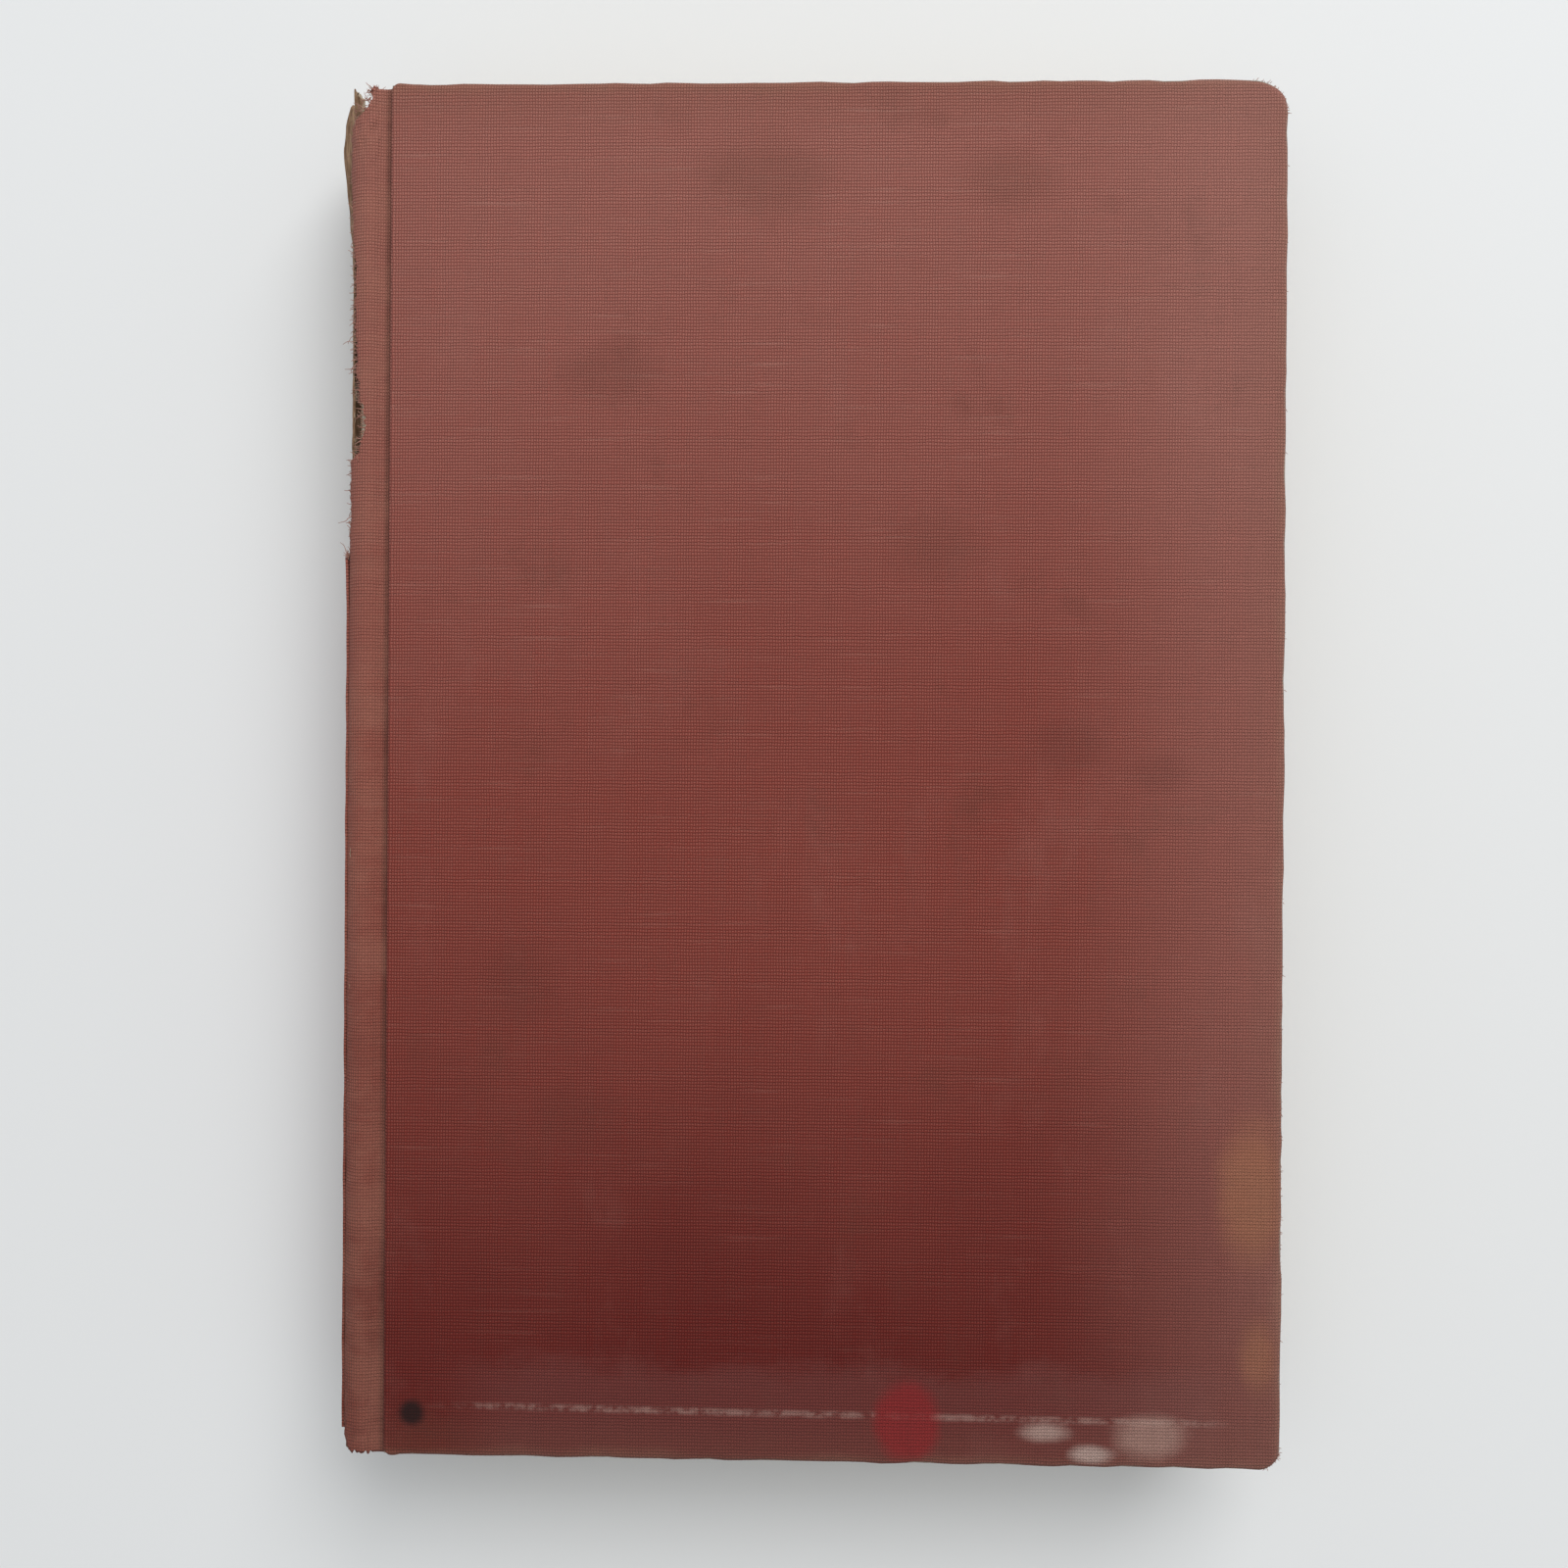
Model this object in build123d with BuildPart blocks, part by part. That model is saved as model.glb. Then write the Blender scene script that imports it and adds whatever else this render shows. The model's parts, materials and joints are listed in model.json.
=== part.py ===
"""A cloth-bound hardback book, lying closed on its back cover. Millimetres, +Z up.

+X runs from the spine to the fore-edge and +Y from tail to head. The origin is the centre of the
closed book's footprint, on the plane that the back cover lies on.
"""

import os
from math import atan2, cos, degrees, radians, sin

from build123d import *

# Cover boards and their cloth
cover_height = 197.0  # tail to head, over the cloth
cover_width = 127.7  # joint edge to fore-edge, over the cloth
board_thickness = 2.4
cloth_thickness = 0.4
turn_in_width = 15.0  # cloth folded over onto the inside of a board
head_corner_radius = 5.0  # the fore-edge corners are worn round
tail_corner_radius = 3.2

# Endpapers and gauze
endpaper_thickness = 0.2
endpaper_margin = 4.0  # from the cover's edges to the pastedown's
pastedown_lap = 0.6  # where the pastedown steps up onto the turn-ins
gauze_thickness = 0.16
flap_width = 28.0  # gauze flap glued inside each board
flap_length = 160.0

# Leaves
leaves_thickness = 23.6
square = 3.3  # how far the covers stand out past the leaves
fore_edge_hollow = 2.0
flyleaf_setback = 0.4  # flyleaf edge inside the edges of the leaves

# Spine, measured on the outside of its cloth
shoulder_radius = 2.9
spine_bulge = 0.65  # how far the round stands out past the shoulder rolls
crease_angle = 148.0  # degrees that the cloth goes round a roll, to the crease beside the cover
hollow_depth = 0.35  # air between the inlay and the lining at mid-spine
inlay_thickness = 0.5
inlay_wrap = 32.0  # degrees that the inlay reaches round each shoulder roll
lining_thickness = 0.15
nose_inset = 1.5  # how much tighter the shoulders of the leaves are rounded than the cloth's
nose_lean = 50.0  # degrees up to the nose's centre from the middle of the roll
nose_room = 0.12  # air between the gauze on the nose and the cloth over it

# Cloth lost from the head of the spine: distances down from the head
tear_at_round = 68.0
tear_at_shoulder = 52.0
torn_edge_reach = 2.2  # middle of the roll to the edge of the cloth that is left on it

# Clearances
cover_play = 0.1  # between a closed cover's pastedown and the flyleaf
opening_room = 0.05  # past the round of the spine, where a cover's edge lies once it is right open
glue = 0.03

# Derived places
cover_thickness = 2 * cloth_thickness + board_thickness + endpaper_thickness
half_block = leaves_thickness / 2
half_thickness = half_block + endpaper_thickness + cover_play + cover_thickness
overall_thickness = 2 * half_thickness
inner_face = cloth_thickness + board_thickness
joint_strip = shoulder_radius + spine_bulge + opening_room
spine_reach = joint_strip + shoulder_radius + spine_bulge
overall_width = cover_width + spine_reach
fore_edge_x = overall_width / 2
joint_x = fore_edge_x - cover_width
window_x = fore_edge_x - turn_in_width
window_half = cover_height / 2 - turn_in_width
spine_x = -overall_width / 2
# Each cover turns about the middle of its shoulder roll, level with its pastedown
roll_x = joint_x - joint_strip
roll_z = half_thickness - cover_thickness - cover_play / 2
# A round of radius round_radius that touches both rolls and stands spine_bulge past them
round_reach = (spine_bulge**2 + roll_z**2) / (2 * spine_bulge)
round_radius = round_reach + shoulder_radius
round_x = roll_x + round_reach
nose_radius = shoulder_radius - nose_inset
# Spine of the leaves, under the gauze, the lining, the hollow and the inlay, with its noses inside
# the rolls of the cloth
leaves_depth = (
    cloth_thickness + inlay_thickness + hollow_depth + lining_thickness + gauze_thickness + 3 * glue
)
leaves_spine_x = spine_x + leaves_depth
nose_reach = shoulder_radius - cloth_thickness - nose_room - gauze_thickness - glue - nose_radius
nose_x = roll_x + nose_reach * cos(radians(nose_lean))
nose_z = roll_z + nose_reach * sin(radians(nose_lean))
leaves_bulge = nose_x - nose_radius - leaves_spine_x
leaves_reach = (leaves_bulge**2 + nose_z**2) / (2 * leaves_bulge)
leaves_round = leaves_reach + nose_radius
leaves_round_x = nose_x + leaves_reach
leaves_fore_x = fore_edge_x - square
leaves_height = cover_height - 2 * square

# Upright cross-section of the book at half its thickness: local y is height above that level
section = Plane(origin=(0, 0, half_thickness), x_dir=(1, 0, 0), z_dir=(0, -1, 0))
# Height of each cover's outer face, and the way inwards from it
covers = {"front": (overall_thickness, -1), "back": (0.0, 1)}

os.makedirs("parts", exist_ok=True)


def save(piece, name):
    """Label a finished piece and write it to its own file."""
    piece.part.label = name
    export_step(piece.part, f"parts/{name}.step")


def touch_point(centre_x, centre_z, hub_x, reach, radius):
    """Where a round about (hub_x, 0) touches a roll about (centre_x, centre_z)."""
    return (hub_x + (centre_x - hub_x) * radius / reach, centre_z * radius / reach)


def roll_point(centre_x, centre_z, radius, turn):
    """A point on a roll, turned in degrees up from the side that faces away from the leaves."""
    angle = radians(turn)
    return (centre_x - radius * cos(angle), centre_z + radius * sin(angle))


def flip(point):
    """The same point on the back half of the section."""
    return (point[0], -point[1])


def rounded_spine(depth, wrap):
    """Draw the outside of the spine, depth below its cloth's face, round both rolls as far as wrap."""
    roll = shoulder_radius - depth
    tangent = touch_point(roll_x, roll_z, round_x, round_reach, round_radius - depth)
    lean = degrees(atan2(roll_z, round_reach))
    start = roll_point(roll_x, roll_z, roll, wrap)
    middle = roll_point(roll_x, roll_z, roll, (wrap + lean) / 2)
    ThreePointArc(start, middle, tangent)
    ThreePointArc(tangent, (spine_x + depth, 0), flip(tangent))
    ThreePointArc(flip(tangent), flip(middle), flip(start))
    return start


def leaves_round_end(proud):
    """Where the round on the spine of the leaves, proud of it, meets the front nose."""
    return touch_point(nose_x, nose_z, leaves_round_x, leaves_reach, leaves_round + proud)


def leaves_spine(proud):
    """Draw the spine of the leaves, proud of it, over both noses to their far sides."""
    nose = nose_radius + proud
    tangent = leaves_round_end(proud)
    lean = degrees(atan2(nose_z, leaves_reach))
    start = roll_point(nose_x, nose_z, nose, 180)
    middle = roll_point(nose_x, nose_z, nose, (180 + lean) / 2)
    ThreePointArc(start, middle, tangent)
    ThreePointArc(tangent, (leaves_spine_x - proud, 0), flip(tangent))
    ThreePointArc(flip(tangent), flip(middle), flip(start))
    return start


def cover_outline(edge):
    """Draw a cover's outline, edge inside its cloth at head, tail and fore-edge."""
    top, right = cover_height / 2 - edge, fore_edge_x - edge
    head, tail = head_corner_radius - edge, tail_corner_radius - edge
    Line((joint_x, top), (right - head, top))
    RadiusArc((right - head, top), (right, top - head), head)
    Line((right, top - head), (right, tail - top))
    RadiusArc((right, tail - top), (right - tail, -top), tail)
    Polyline((right - tail, -top), (joint_x, -top), (joint_x, top))


def sheet_from_joint(right, half_height, mode=Mode.ADD):
    """Draw a plain rectangle from a cover's joint edge, centred on the book's height."""
    with Locations(((joint_x + right) / 2, 0)):
        Rectangle(right - joint_x, 2 * half_height, mode=mode)


for side, (face_z, inward) in covers.items():
    outside, board_level, inside, turn_in_level = [
        Plane.XY.offset(face_z + inward * depth)
        for depth in (0, cloth_thickness, inner_face, inner_face + cloth_thickness)
    ]

    # Board: stiff grey millboard, square at the joint and worn round at the corners
    with BuildPart() as board:
        with BuildSketch(board_level):
            with BuildLine():
                cover_outline(cloth_thickness)
            make_face()
        extrude(amount=inward * board_thickness)
    save(board, f"{side}_board")

    # Cloth: over the outside, round three edges and turned in
    with BuildPart() as cloth:
        with BuildSketch(outside):
            with BuildLine():
                cover_outline(0)
            make_face()
        extrude(amount=inward * (inner_face + cloth_thickness))
        with BuildSketch(board_level):
            with BuildLine():
                cover_outline(cloth_thickness)
            make_face()
        extrude(amount=inward * board_thickness, mode=Mode.SUBTRACT)
        with BuildSketch(inside):
            sheet_from_joint(window_x, window_half)
        extrude(amount=inward * cloth_thickness, mode=Mode.SUBTRACT)
    save(cloth, f"{side}_cloth")

    # Gauze flap: glued to the inside of the board along the joint
    with BuildPart() as flap:
        with BuildSketch(inside):
            sheet_from_joint(joint_x + flap_width, flap_length / 2)
        extrude(amount=inward * gauze_thickness)
    save(flap, f"{side}_gauze_flap")

    # Pastedown: one sheet that dips inside the turn-ins and laps over them
    with BuildPart() as pastedown:
        with BuildSketch(turn_in_level):
            sheet_from_joint(window_x, window_half)
        extrude(amount=-inward * endpaper_thickness)
        with BuildSketch(turn_in_level):
            sheet_from_joint(fore_edge_x - endpaper_margin, cover_height / 2 - endpaper_margin)
            sheet_from_joint(
                window_x - pastedown_lap, window_half - pastedown_lap, mode=Mode.SUBTRACT
            )
        extrude(amount=inward * endpaper_thickness)
    save(pastedown, f"{side}_pastedown")

    # Flyleaf: the free half of the endpaper, lying on the leaves
    with BuildPart() as flyleaf:
        with BuildSketch(Plane.XY.offset(half_thickness - inward * half_block)):
            sheet_from_joint(leaves_fore_x - flyleaf_setback, leaves_height / 2 - flyleaf_setback)
        extrude(amount=-inward * endpaper_thickness)
    save(flyleaf, f"{side}_flyleaf")


# Leaves: sewn, rounded and backed, with a shoulder along each joint and a hollow fore-edge
with BuildPart() as leaves:
    with BuildSketch(section):
        with BuildLine():
            heel = nose_x + nose_radius
            leaves_spine(0)
            Polyline((heel, nose_z), (heel, half_block), (leaves_fore_x, half_block))
            ThreePointArc(
                (leaves_fore_x, half_block),
                (leaves_fore_x - fore_edge_hollow, 0),
                (leaves_fore_x, -half_block),
            )
            Polyline((leaves_fore_x, -half_block), (heel, -half_block), (heel, -nose_z))
        make_face()
    extrude(amount=leaves_height / 2, both=True)
save(leaves, "text_block")

# Gauze: glued over the spine of the leaves and round both shoulders
with BuildPart() as gauze:
    with BuildSketch(section):
        with BuildLine():
            inner = leaves_spine(glue)
            outer = leaves_spine(glue + gauze_thickness)
            Line(inner, outer)
            Line(flip(inner), flip(outer))
        make_face()
    extrude(amount=flap_length / 2, both=True)
save(gauze, "spine_gauze")

# Lining: a strip of brown paper over the gauze, between the shoulders
with BuildPart() as lining:
    with BuildSketch(section):
        with BuildLine():
            under = 2 * glue + gauze_thickness
            over = under + lining_thickness
            inner, outer = leaves_round_end(under), leaves_round_end(over)
            ThreePointArc(inner, (leaves_spine_x - under, 0), flip(inner))
            ThreePointArc(outer, (leaves_spine_x - over, 0), flip(outer))
            Line(inner, outer)
            Line(flip(inner), flip(outer))
        make_face()
    extrude(amount=leaves_height / 2, both=True)
save(lining, "spine_lining")

# Inlay: a strip of brown card that stiffens the spine of the case
with BuildPart() as inlay:
    with BuildSketch(section):
        with BuildLine():
            outer = rounded_spine(cloth_thickness + glue, inlay_wrap)
            inner = rounded_spine(cloth_thickness + glue + inlay_thickness, inlay_wrap)
            Line(inner, outer)
            Line(flip(inner), flip(outer))
        make_face()
    extrude(amount=cover_height / 2 - cloth_thickness, both=True)
save(inlay, "spine_inlay")

# Spine cloth: crease to crease, with its head torn away between the shoulders
with BuildPart() as spine_cloth:
    with BuildSketch(section):
        with BuildLine():
            outer = rounded_spine(0, crease_angle)
            inner = rounded_spine(cloth_thickness, crease_angle)
            Line(inner, outer)
            Line(flip(inner), flip(outer))
        make_face()
    extrude(amount=cover_height / 2, both=True)
    with BuildSketch(Plane.YZ.offset(roll_x - torn_edge_reach)):
        head = cover_height / 2
        with BuildLine():
            Polyline(
                (head, 0),
                (head - tear_at_round, 0),
                (head - tear_at_round, half_thickness),
                (head - tear_at_shoulder, half_thickness + roll_z),
                (head - tear_at_shoulder, overall_thickness),
                (head, overall_thickness),
                close=True,
            )
        make_face()
    extrude(amount=-spine_reach, mode=Mode.SUBTRACT)
save(spine_cloth, "spine_cloth")
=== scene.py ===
"""The worn cloth-bound book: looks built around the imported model. Metres, same frame as the CAD."""

import json
import math

import bpy
import numpy as np
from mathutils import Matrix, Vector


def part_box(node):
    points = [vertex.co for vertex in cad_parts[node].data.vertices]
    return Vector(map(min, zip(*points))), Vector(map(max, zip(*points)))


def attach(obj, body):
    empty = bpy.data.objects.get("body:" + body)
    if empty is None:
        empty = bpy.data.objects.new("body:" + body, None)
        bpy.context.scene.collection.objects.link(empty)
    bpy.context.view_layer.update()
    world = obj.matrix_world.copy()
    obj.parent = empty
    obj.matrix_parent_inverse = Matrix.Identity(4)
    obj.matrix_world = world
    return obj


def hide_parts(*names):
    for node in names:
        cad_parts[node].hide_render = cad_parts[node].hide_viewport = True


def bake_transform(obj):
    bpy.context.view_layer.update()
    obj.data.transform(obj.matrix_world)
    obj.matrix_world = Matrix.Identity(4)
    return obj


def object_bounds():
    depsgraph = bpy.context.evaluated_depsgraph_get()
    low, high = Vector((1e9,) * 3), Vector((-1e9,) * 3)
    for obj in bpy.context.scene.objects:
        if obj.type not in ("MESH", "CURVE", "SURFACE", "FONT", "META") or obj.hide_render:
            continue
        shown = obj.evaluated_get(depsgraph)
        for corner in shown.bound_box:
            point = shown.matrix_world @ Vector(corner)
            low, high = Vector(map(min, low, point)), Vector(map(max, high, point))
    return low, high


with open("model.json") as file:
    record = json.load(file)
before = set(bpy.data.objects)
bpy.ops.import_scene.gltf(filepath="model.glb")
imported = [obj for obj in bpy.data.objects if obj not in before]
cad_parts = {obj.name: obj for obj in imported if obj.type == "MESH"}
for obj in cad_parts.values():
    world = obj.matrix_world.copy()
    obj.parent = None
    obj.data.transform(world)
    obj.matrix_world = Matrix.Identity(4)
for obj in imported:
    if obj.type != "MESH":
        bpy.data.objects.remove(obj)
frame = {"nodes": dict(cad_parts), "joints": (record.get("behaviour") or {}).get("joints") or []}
cad_lo, cad_hi = [list(corner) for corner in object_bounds()]

MM = 0.001
rng = np.random.default_rng(7)

# Places, in millimetres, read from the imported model
joints = {joint["name"]: joint for joint in frame["joints"]}
axis_x = joints["front_cover_hinge"]["pos_m"][0] / MM
T = cad_hi[2] / MM
MID = T / 2
roll_z = joints["front_cover_hinge"]["pos_m"][2] / MM - MID
spine_x = cad_lo[0] / MM
fore_x = cad_hi[0] / MM
H = cad_hi[1] / MM
joint_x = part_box("front_cloth")[0][0] / MM
ROLL = 2.9  # outside radius of the shoulder rolls
CLOTH = 0.4
HEAD_CORNER = 5.0  # round corners at the fore edge
TAIL_CORNER = 3.2
JOINT_CORNER = 1.1
TURN_IN = 15.0
PAPER_MARGIN = 4.0  # from a cover's edges to its pastedown's
JOINT_PAPER_END = H - 4.2  # half the length of the paper in the inner joints
FIXED_PAPER_ROLL = 2.22  # radii of the two papers in an inner joint
MOVING_PAPER_ROLL = 2.37
WARP_PITCH = 0.00040  # metres between the cloth's threads
WEFT_PITCH = 0.00046
bulge = axis_x - ROLL - spine_x
reach = (bulge**2 + roll_z**2) / (2 * bulge)
round_r = reach + ROLL
round_cx = axis_x + reach
lean = math.degrees(math.atan2(roll_z, reach))


# ---------------------------------------------------------------- mesh helpers
def ripple(a, b, size, seed):
    """Smooth noise between about -1 and 1, from a few sines."""
    pick = np.random.default_rng(seed)
    total = 0
    for _ in range(7):
        way = pick.uniform(0, 2 * math.pi)
        f = pick.uniform(0.6, 1.9) / size * 2 * math.pi
        total = total + np.sin(a * math.cos(way) * f + b * math.sin(way) * f + pick.uniform(0, 6.28))
    return total / 3.2


def add_mesh(name, verts, faces, uvs, material):
    mesh = bpy.data.meshes.new(name)
    mesh.from_pydata([tuple(c * MM for c in v) for v in verts], [], faces)
    layer = mesh.uv_layers.new(name="weave")
    loop_verts = np.zeros(len(mesh.loops), np.int32)
    mesh.loops.foreach_get("vertex_index", loop_verts)
    layer.data.foreach_set("uv", (np.array(uvs, np.float32) * MM)[loop_verts].ravel())
    mesh.polygons.foreach_set("use_smooth", [True] * len(mesh.polygons))
    mesh.materials.append(material)
    mesh.update()
    piece = bpy.data.objects.new(name, mesh)
    bpy.context.scene.collection.objects.link(piece)
    return piece


def grid_faces(n, m, at=0, flip=False):
    """Quads over a grid of n by m points whose first index is at."""
    faces = []
    for i in range(n - 1):
        for j in range(m - 1):
            a = at + i * m + j
            quad = (a, a + 1, a + m + 1, a + m)
            faces.append(quad[::-1] if flip else quad)
    return faces


def border(n, m):
    """The indices round a grid's rim, in order."""
    rim = list(range(m))
    rim += [i * m + m - 1 for i in range(1, n)]
    rim += [(n - 1) * m + j for j in range(m - 2, -1, -1)]
    rim += [i * m for i in range(n - 2, 0, -1)]
    return rim


def sheet(name, points, uvs, thickness, material):
    """A closed thin solid: the grid of points is its outer face, the other side lies thickness inside."""
    points = np.array(points, float)
    n, m = points.shape[:2]
    di = np.gradient(points, axis=0)
    dj = np.gradient(points, axis=1)
    normal = np.cross(di, dj)
    normal /= np.linalg.norm(normal, axis=2, keepdims=True) + 1e-12
    inner = points - normal * thickness
    verts = np.concatenate([points.reshape(-1, 3), inner.reshape(-1, 3)])
    uv = np.concatenate([np.array(uvs, float).reshape(-1, 2)] * 2)
    faces = grid_faces(n, m) + grid_faces(n, m, n * m, True)
    rim = border(n, m)
    for a, b in zip(rim, rim[1:] + rim[:1]):
        faces.append((b, a, a + n * m, b + n * m))
    return add_mesh(name, verts, faces, uv, material)


def threads(name, starts, ways, lengths, thick, material, seed, droop=0.25):
    """Loose thread ends: thin three-sided tubes that wander from each start."""
    pick = np.random.default_rng(seed)
    verts, faces, uvs = [], [], []
    for start, way, length in zip(starts, ways, lengths):
        p = np.array(start, float)
        d = np.array(way, float)
        d /= np.linalg.norm(d)
        steps = 6
        ring = None
        for k in range(steps + 1):
            side = np.cross(d, [0.3, 0.2, 0.93])
            side /= np.linalg.norm(side) + 1e-9
            up = np.cross(side, d)
            r = thick * (1 - 0.55 * k / steps)
            at = len(verts)
            for q in range(3):
                turn = q * 2 * math.pi / 3
                verts.append(p + r * (side * math.cos(turn) + up * math.sin(turn)))
                uvs.append((p[0], p[1]))
            if ring is not None:
                for q in range(3):
                    faces.append((ring + q, ring + (q + 1) % 3, at + (q + 1) % 3, at + q))
            else:
                faces.append((at + 2, at + 1, at))
            ring = at
            p = p + d * length / steps
            d = d + pick.normal(0, droop, 3)
            d /= np.linalg.norm(d)
        faces.append((ring, ring + 1, ring + 2))
    return add_mesh(name, verts, faces, uvs, material)


# ---------------------------------------------------------------- material helpers
class Graph:
    """A short way to write shader nodes."""

    def __init__(self, name):
        self.material = bpy.data.materials.new(name)
        self.material.use_nodes = True
        self.tree = self.material.node_tree
        self.shader = self.tree.nodes["Principled BSDF"]

    def put(self, socket, value):
        if hasattr(value, "is_output"):
            self.tree.links.new(value, socket)
        else:
            socket.default_value = value

    def math(self, operation, a, b=0.0, c=0.0):
        node = self.tree.nodes.new("ShaderNodeMath")
        node.operation = operation
        for socket, value in zip(node.inputs, (a, b, c)):
            self.put(socket, value)
        return node.outputs[0]

    def noise(self, vector, scale, detail=3.0, rough=0.55):
        node = self.tree.nodes.new("ShaderNodeTexNoise")
        self.put(node.inputs["Vector"], vector)
        node.inputs["Scale"].default_value = scale
        node.inputs["Detail"].default_value = detail
        node.inputs["Roughness"].default_value = rough
        return node.outputs["Fac"]

    def ramp(self, value, low, high):
        node = self.tree.nodes.new("ShaderNodeMapRange")
        node.interpolation_type = "SMOOTHSTEP"
        self.put(node.inputs["Value"], value)
        node.inputs["From Min"].default_value = low
        node.inputs["From Max"].default_value = high
        return node.outputs["Result"]

    def mix(self, share, a, b):
        node = self.tree.nodes.new("ShaderNodeMix")
        node.data_type = "RGBA"
        self.put(node.inputs[0], share)
        for socket, value in ((node.inputs[6], a), (node.inputs[7], b)):
            self.put(socket, value if hasattr(value, "is_output") else (*value, 1.0))
        return node.outputs[2]

    def stretch(self, vector, x, y, z=1.0):
        node = self.tree.nodes.new("ShaderNodeVectorMath")
        node.operation = "MULTIPLY"
        self.put(node.inputs[0], vector)
        node.inputs[1].default_value = (x, y, z)
        return node.outputs[0]

    def uv(self):
        node = self.tree.nodes.new("ShaderNodeUVMap")
        node.uv_map = "weave"
        return node.outputs[0]

    def place(self):
        return self.tree.nodes.new("ShaderNodeTexCoord").outputs["Object"]

    def split(self, vector):
        node = self.tree.nodes.new("ShaderNodeSeparateXYZ")
        self.put(node.inputs[0], vector)
        return node.outputs

    def bump(self, height, distance, strength=1.0, under=None):
        node = self.tree.nodes.new("ShaderNodeBump")
        self.put(node.inputs["Height"], height)
        node.inputs["Distance"].default_value = distance
        node.inputs["Strength"].default_value = strength
        if under is not None:
            self.put(node.inputs["Normal"], under)
        return node.outputs[0]

    def finish(self, colour, normal=None, roughness=0.9, sheen=0.0, specular=0.2):
        self.put(self.shader.inputs["Base Color"], colour if hasattr(colour, "is_output") else (*colour, 1))
        if normal is not None:
            self.put(self.shader.inputs["Normal"], normal)
        self.put(self.shader.inputs["Roughness"], roughness)
        self.shader.inputs["Specular IOR Level"].default_value = specular
        self.shader.inputs["Sheen Weight"].default_value = sheen
        self.shader.inputs["Sheen Roughness"].default_value = 0.5
        return self.material


def spot(g, u, v, x, y, rx, ry, soft, warp, wobble=0.35):
    """A mask that is 1 inside a blotch centred at (x, y) millimetres, with an uneven edge."""
    du = g.math("DIVIDE", g.math("SUBTRACT", u, x * MM), rx * MM)
    dv = g.math("DIVIDE", g.math("SUBTRACT", v, y * MM), ry * MM)
    d = g.math("SQRT", g.math("ADD", g.math("MULTIPLY", du, du), g.math("MULTIPLY", dv, dv)))
    d = g.math("ADD", d, g.math("MULTIPLY", g.math("SUBTRACT", warp, 0.5), wobble * 2))
    return g.math("SUBTRACT", 1.0, g.ramp(d, 1 - soft, 1 + soft))


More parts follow.
